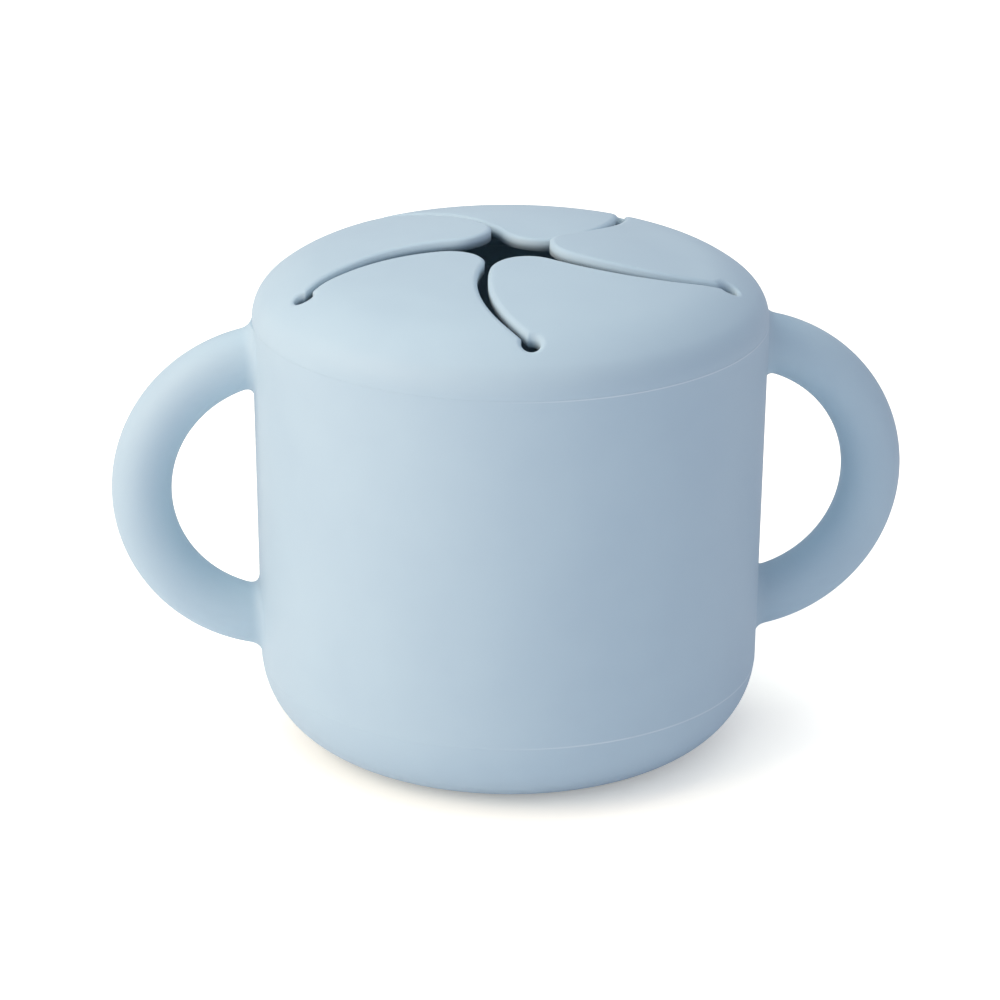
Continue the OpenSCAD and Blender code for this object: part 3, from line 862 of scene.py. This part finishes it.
studio = {
    "floorSize": 3000.0,
    "paperColour": "#ebe7d8",  # what the camera sees of the paper, before its glow
    "floorGlow": 0.68,  # added where the camera sees it, away from the object's contact
    "contactShare": 0.60,  # share of the glow that goes at the contact
    "contactReach": 20.0,
    "bounceColour": "#fafcff",  # what the object sees of the paper
    "worldStrength": 0.46,
    "worldColour": "#ebebff",
}
white = (1, 1, 1, 1)


# A white sweep: seen by the camera it glows, so that it is white, but less where the object
# is near, so that the soft contact shadow stays.
def makeFloorMaterial():
    material, tree = newMaterial("white paper sweep")
    path = addNode(tree, "ShaderNodeLightPath")
    paper = addNode(tree, "ShaderNodeBsdfDiffuse", {"Color": hexToLinear(studio["paperColour"])})
    bounce = addNode(tree, "ShaderNodeBsdfDiffuse", {"Color": hexToLinear(studio["bounceColour"])})
    contact = addNode(tree, "ShaderNodeAmbientOcclusion", {"Distance": studio["contactReach"] * metresPerMm})
    lost = studio["floorGlow"] * studio["contactShare"]
    strength = addNode(tree, "ShaderNodeMath", {1: lost, 2: studio["floorGlow"] - lost},
                       {0: contact.outputs["AO"]}, operation="MULTIPLY_ADD")
    glow = addNode(tree, "ShaderNodeEmission", {"Color": white}, {"Strength": strength.outputs[0]})
    seen = addNode(tree, "ShaderNodeAddShader", links={0: paper.outputs[0], 1: glow.outputs[0]})
    mixed = addNode(tree, "ShaderNodeMixShader",
                    links={0: path.outputs["Is Camera Ray"], 1: bounce.outputs[0], 2: seen.outputs[0]})
    addNode(tree, "ShaderNodeOutputMaterial", links={"Surface": mixed.outputs[0]})
    return material


# one flat square at height 0
def makeFloor():
    half = studio["floorSize"] / 2
    corners = np.array([[-half, -half, 0], [half, -half, 0], [half, half, 0], [-half, half, 0]])
    mesh = bpy.data.meshes.new("floor")
    mesh.from_pydata((corners * metresPerMm).tolist(), [], [(0, 1, 2, 3)])
    mesh.materials.append(makeFloorMaterial())
    floor = bpy.data.objects.new("floor", mesh)
    bpy.context.scene.collection.objects.link(floor)


makeFloor()

# azimuths and elevations are seen from the object: 0 is the front and -90 the picture's left
view = {
    "azimuth": -6.5,
    "elevation": 20.91,
    "roll": 0.385,
    "distance": 715.0,  # from the target
    "target": (0, 0, 45.0),
    "pictureSize": 1000,  # pixels, as are the next two
    "focalPixels": 4043.0,
    "targetPixel": (509.4, 484.7),
    "sensor": 36.0,
    "nearest": 50.0,
    "farthest": 20000.0,
}
# powers are in watts
lamps = {
    "keySoftbox": {
        "azimuth": -73, "elevation": 32, "distance": 900, "size": 650, "power": 5.35, "colour": "#ffe7cf"},
    "topSoftbox": {
        "azimuth": -150, "elevation": 73, "distance": 900, "size": 1000, "power": 3.7, "colour": "#f4fffc"},
    "frontFill": {
        "azimuth": -20, "elevation": 14, "distance": 900, "size": 500, "power": 0.7, "colour": "#d4eeff"},
}


# the direction from the object to a place at azimuth a and elevation e:
# (sin a cos e, -cos a cos e, sin e)
def directionTo(azimuth, elevation):
    a, e = math.radians(azimuth), math.radians(elevation)
    return Vector((math.sin(a) * math.cos(e), -math.cos(a) * math.cos(e), math.sin(e)))


# the camera looks along the view's direction, and its shift puts the target at its pixel;
# lens = focalPixels * sensor / pictureSize
def makeCamera(v):
    data = bpy.data.cameras.new("camera")
    size = v["pictureSize"]
    data.sensor_width = v["sensor"]
    data.lens = v["focalPixels"] * v["sensor"] / size
    data.shift_x = (size / 2 - v["targetPixel"][0]) / size
    data.shift_y = (v["targetPixel"][1] - size / 2) / size
    data.clip_start, data.clip_end = v["nearest"] * metresPerMm, v["farthest"] * metresPerMm
    camera = bpy.data.objects.new("camera", data)
    bpy.context.scene.collection.objects.link(camera)
    back = directionTo(v["azimuth"], v["elevation"])
    camera.rotation_mode = "QUATERNION"
    aim = (-back).to_track_quat("-Z", "Y").to_matrix() @ Matrix.Rotation(math.radians(v["roll"]), 3, "Z")
    camera.rotation_quaternion = aim.to_quaternion()
    camera.location = (Vector(v["target"]) + back * v["distance"]) * metresPerMm
    bpy.context.scene.camera = camera


# a square softbox at target + distance * direction, aimed at the target
def makeLamp(name, v):
    data = bpy.data.lights.new(name, "AREA")
    data.shape = "SQUARE"
    data.size = v["size"] * metresPerMm
    data.energy = v["power"]
    data.color = hexToLinear(v["colour"])[:3]
    lamp = bpy.data.objects.new(name, data)
    bpy.context.scene.collection.objects.link(lamp)
    way = directionTo(v["azimuth"], v["elevation"])
    lamp.location = (way * v["distance"] + Vector(view["target"])) * metresPerMm
    lamp.rotation_mode = "QUATERNION"
    lamp.rotation_quaternion = (-way).to_track_quat("-Z", "Y")


# the air lights the object evenly, and the camera sees it plain white
def makeWorld():
    world = bpy.data.worlds.new("studio")
    world.use_nodes = True
    tree = world.node_tree
    tree.nodes.clear()
    path = addNode(tree, "ShaderNodeLightPath")
    air = addNode(tree, "ShaderNodeBackground",
                  {"Color": hexToLinear(studio["worldColour"]), "Strength": studio["worldStrength"]})
    backdrop = addNode(tree, "ShaderNodeBackground", {"Color": white, "Strength": 1.0})
    mixed = addNode(tree, "ShaderNodeMixShader",
                    links={0: path.outputs["Is Camera Ray"], 1: air.outputs[0], 2: backdrop.outputs[0]})
    addNode(tree, "ShaderNodeOutputWorld", links={"Surface": mixed.outputs[0]})
    bpy.context.scene.world = world


makeCamera(view)
for lampName, lampValues in lamps.items():
    makeLamp(lampName, lampValues)
makeWorld()
bpy.context.scene.view_settings.view_transform = "Standard"
print("studio: floor, camera, lamps and world made")
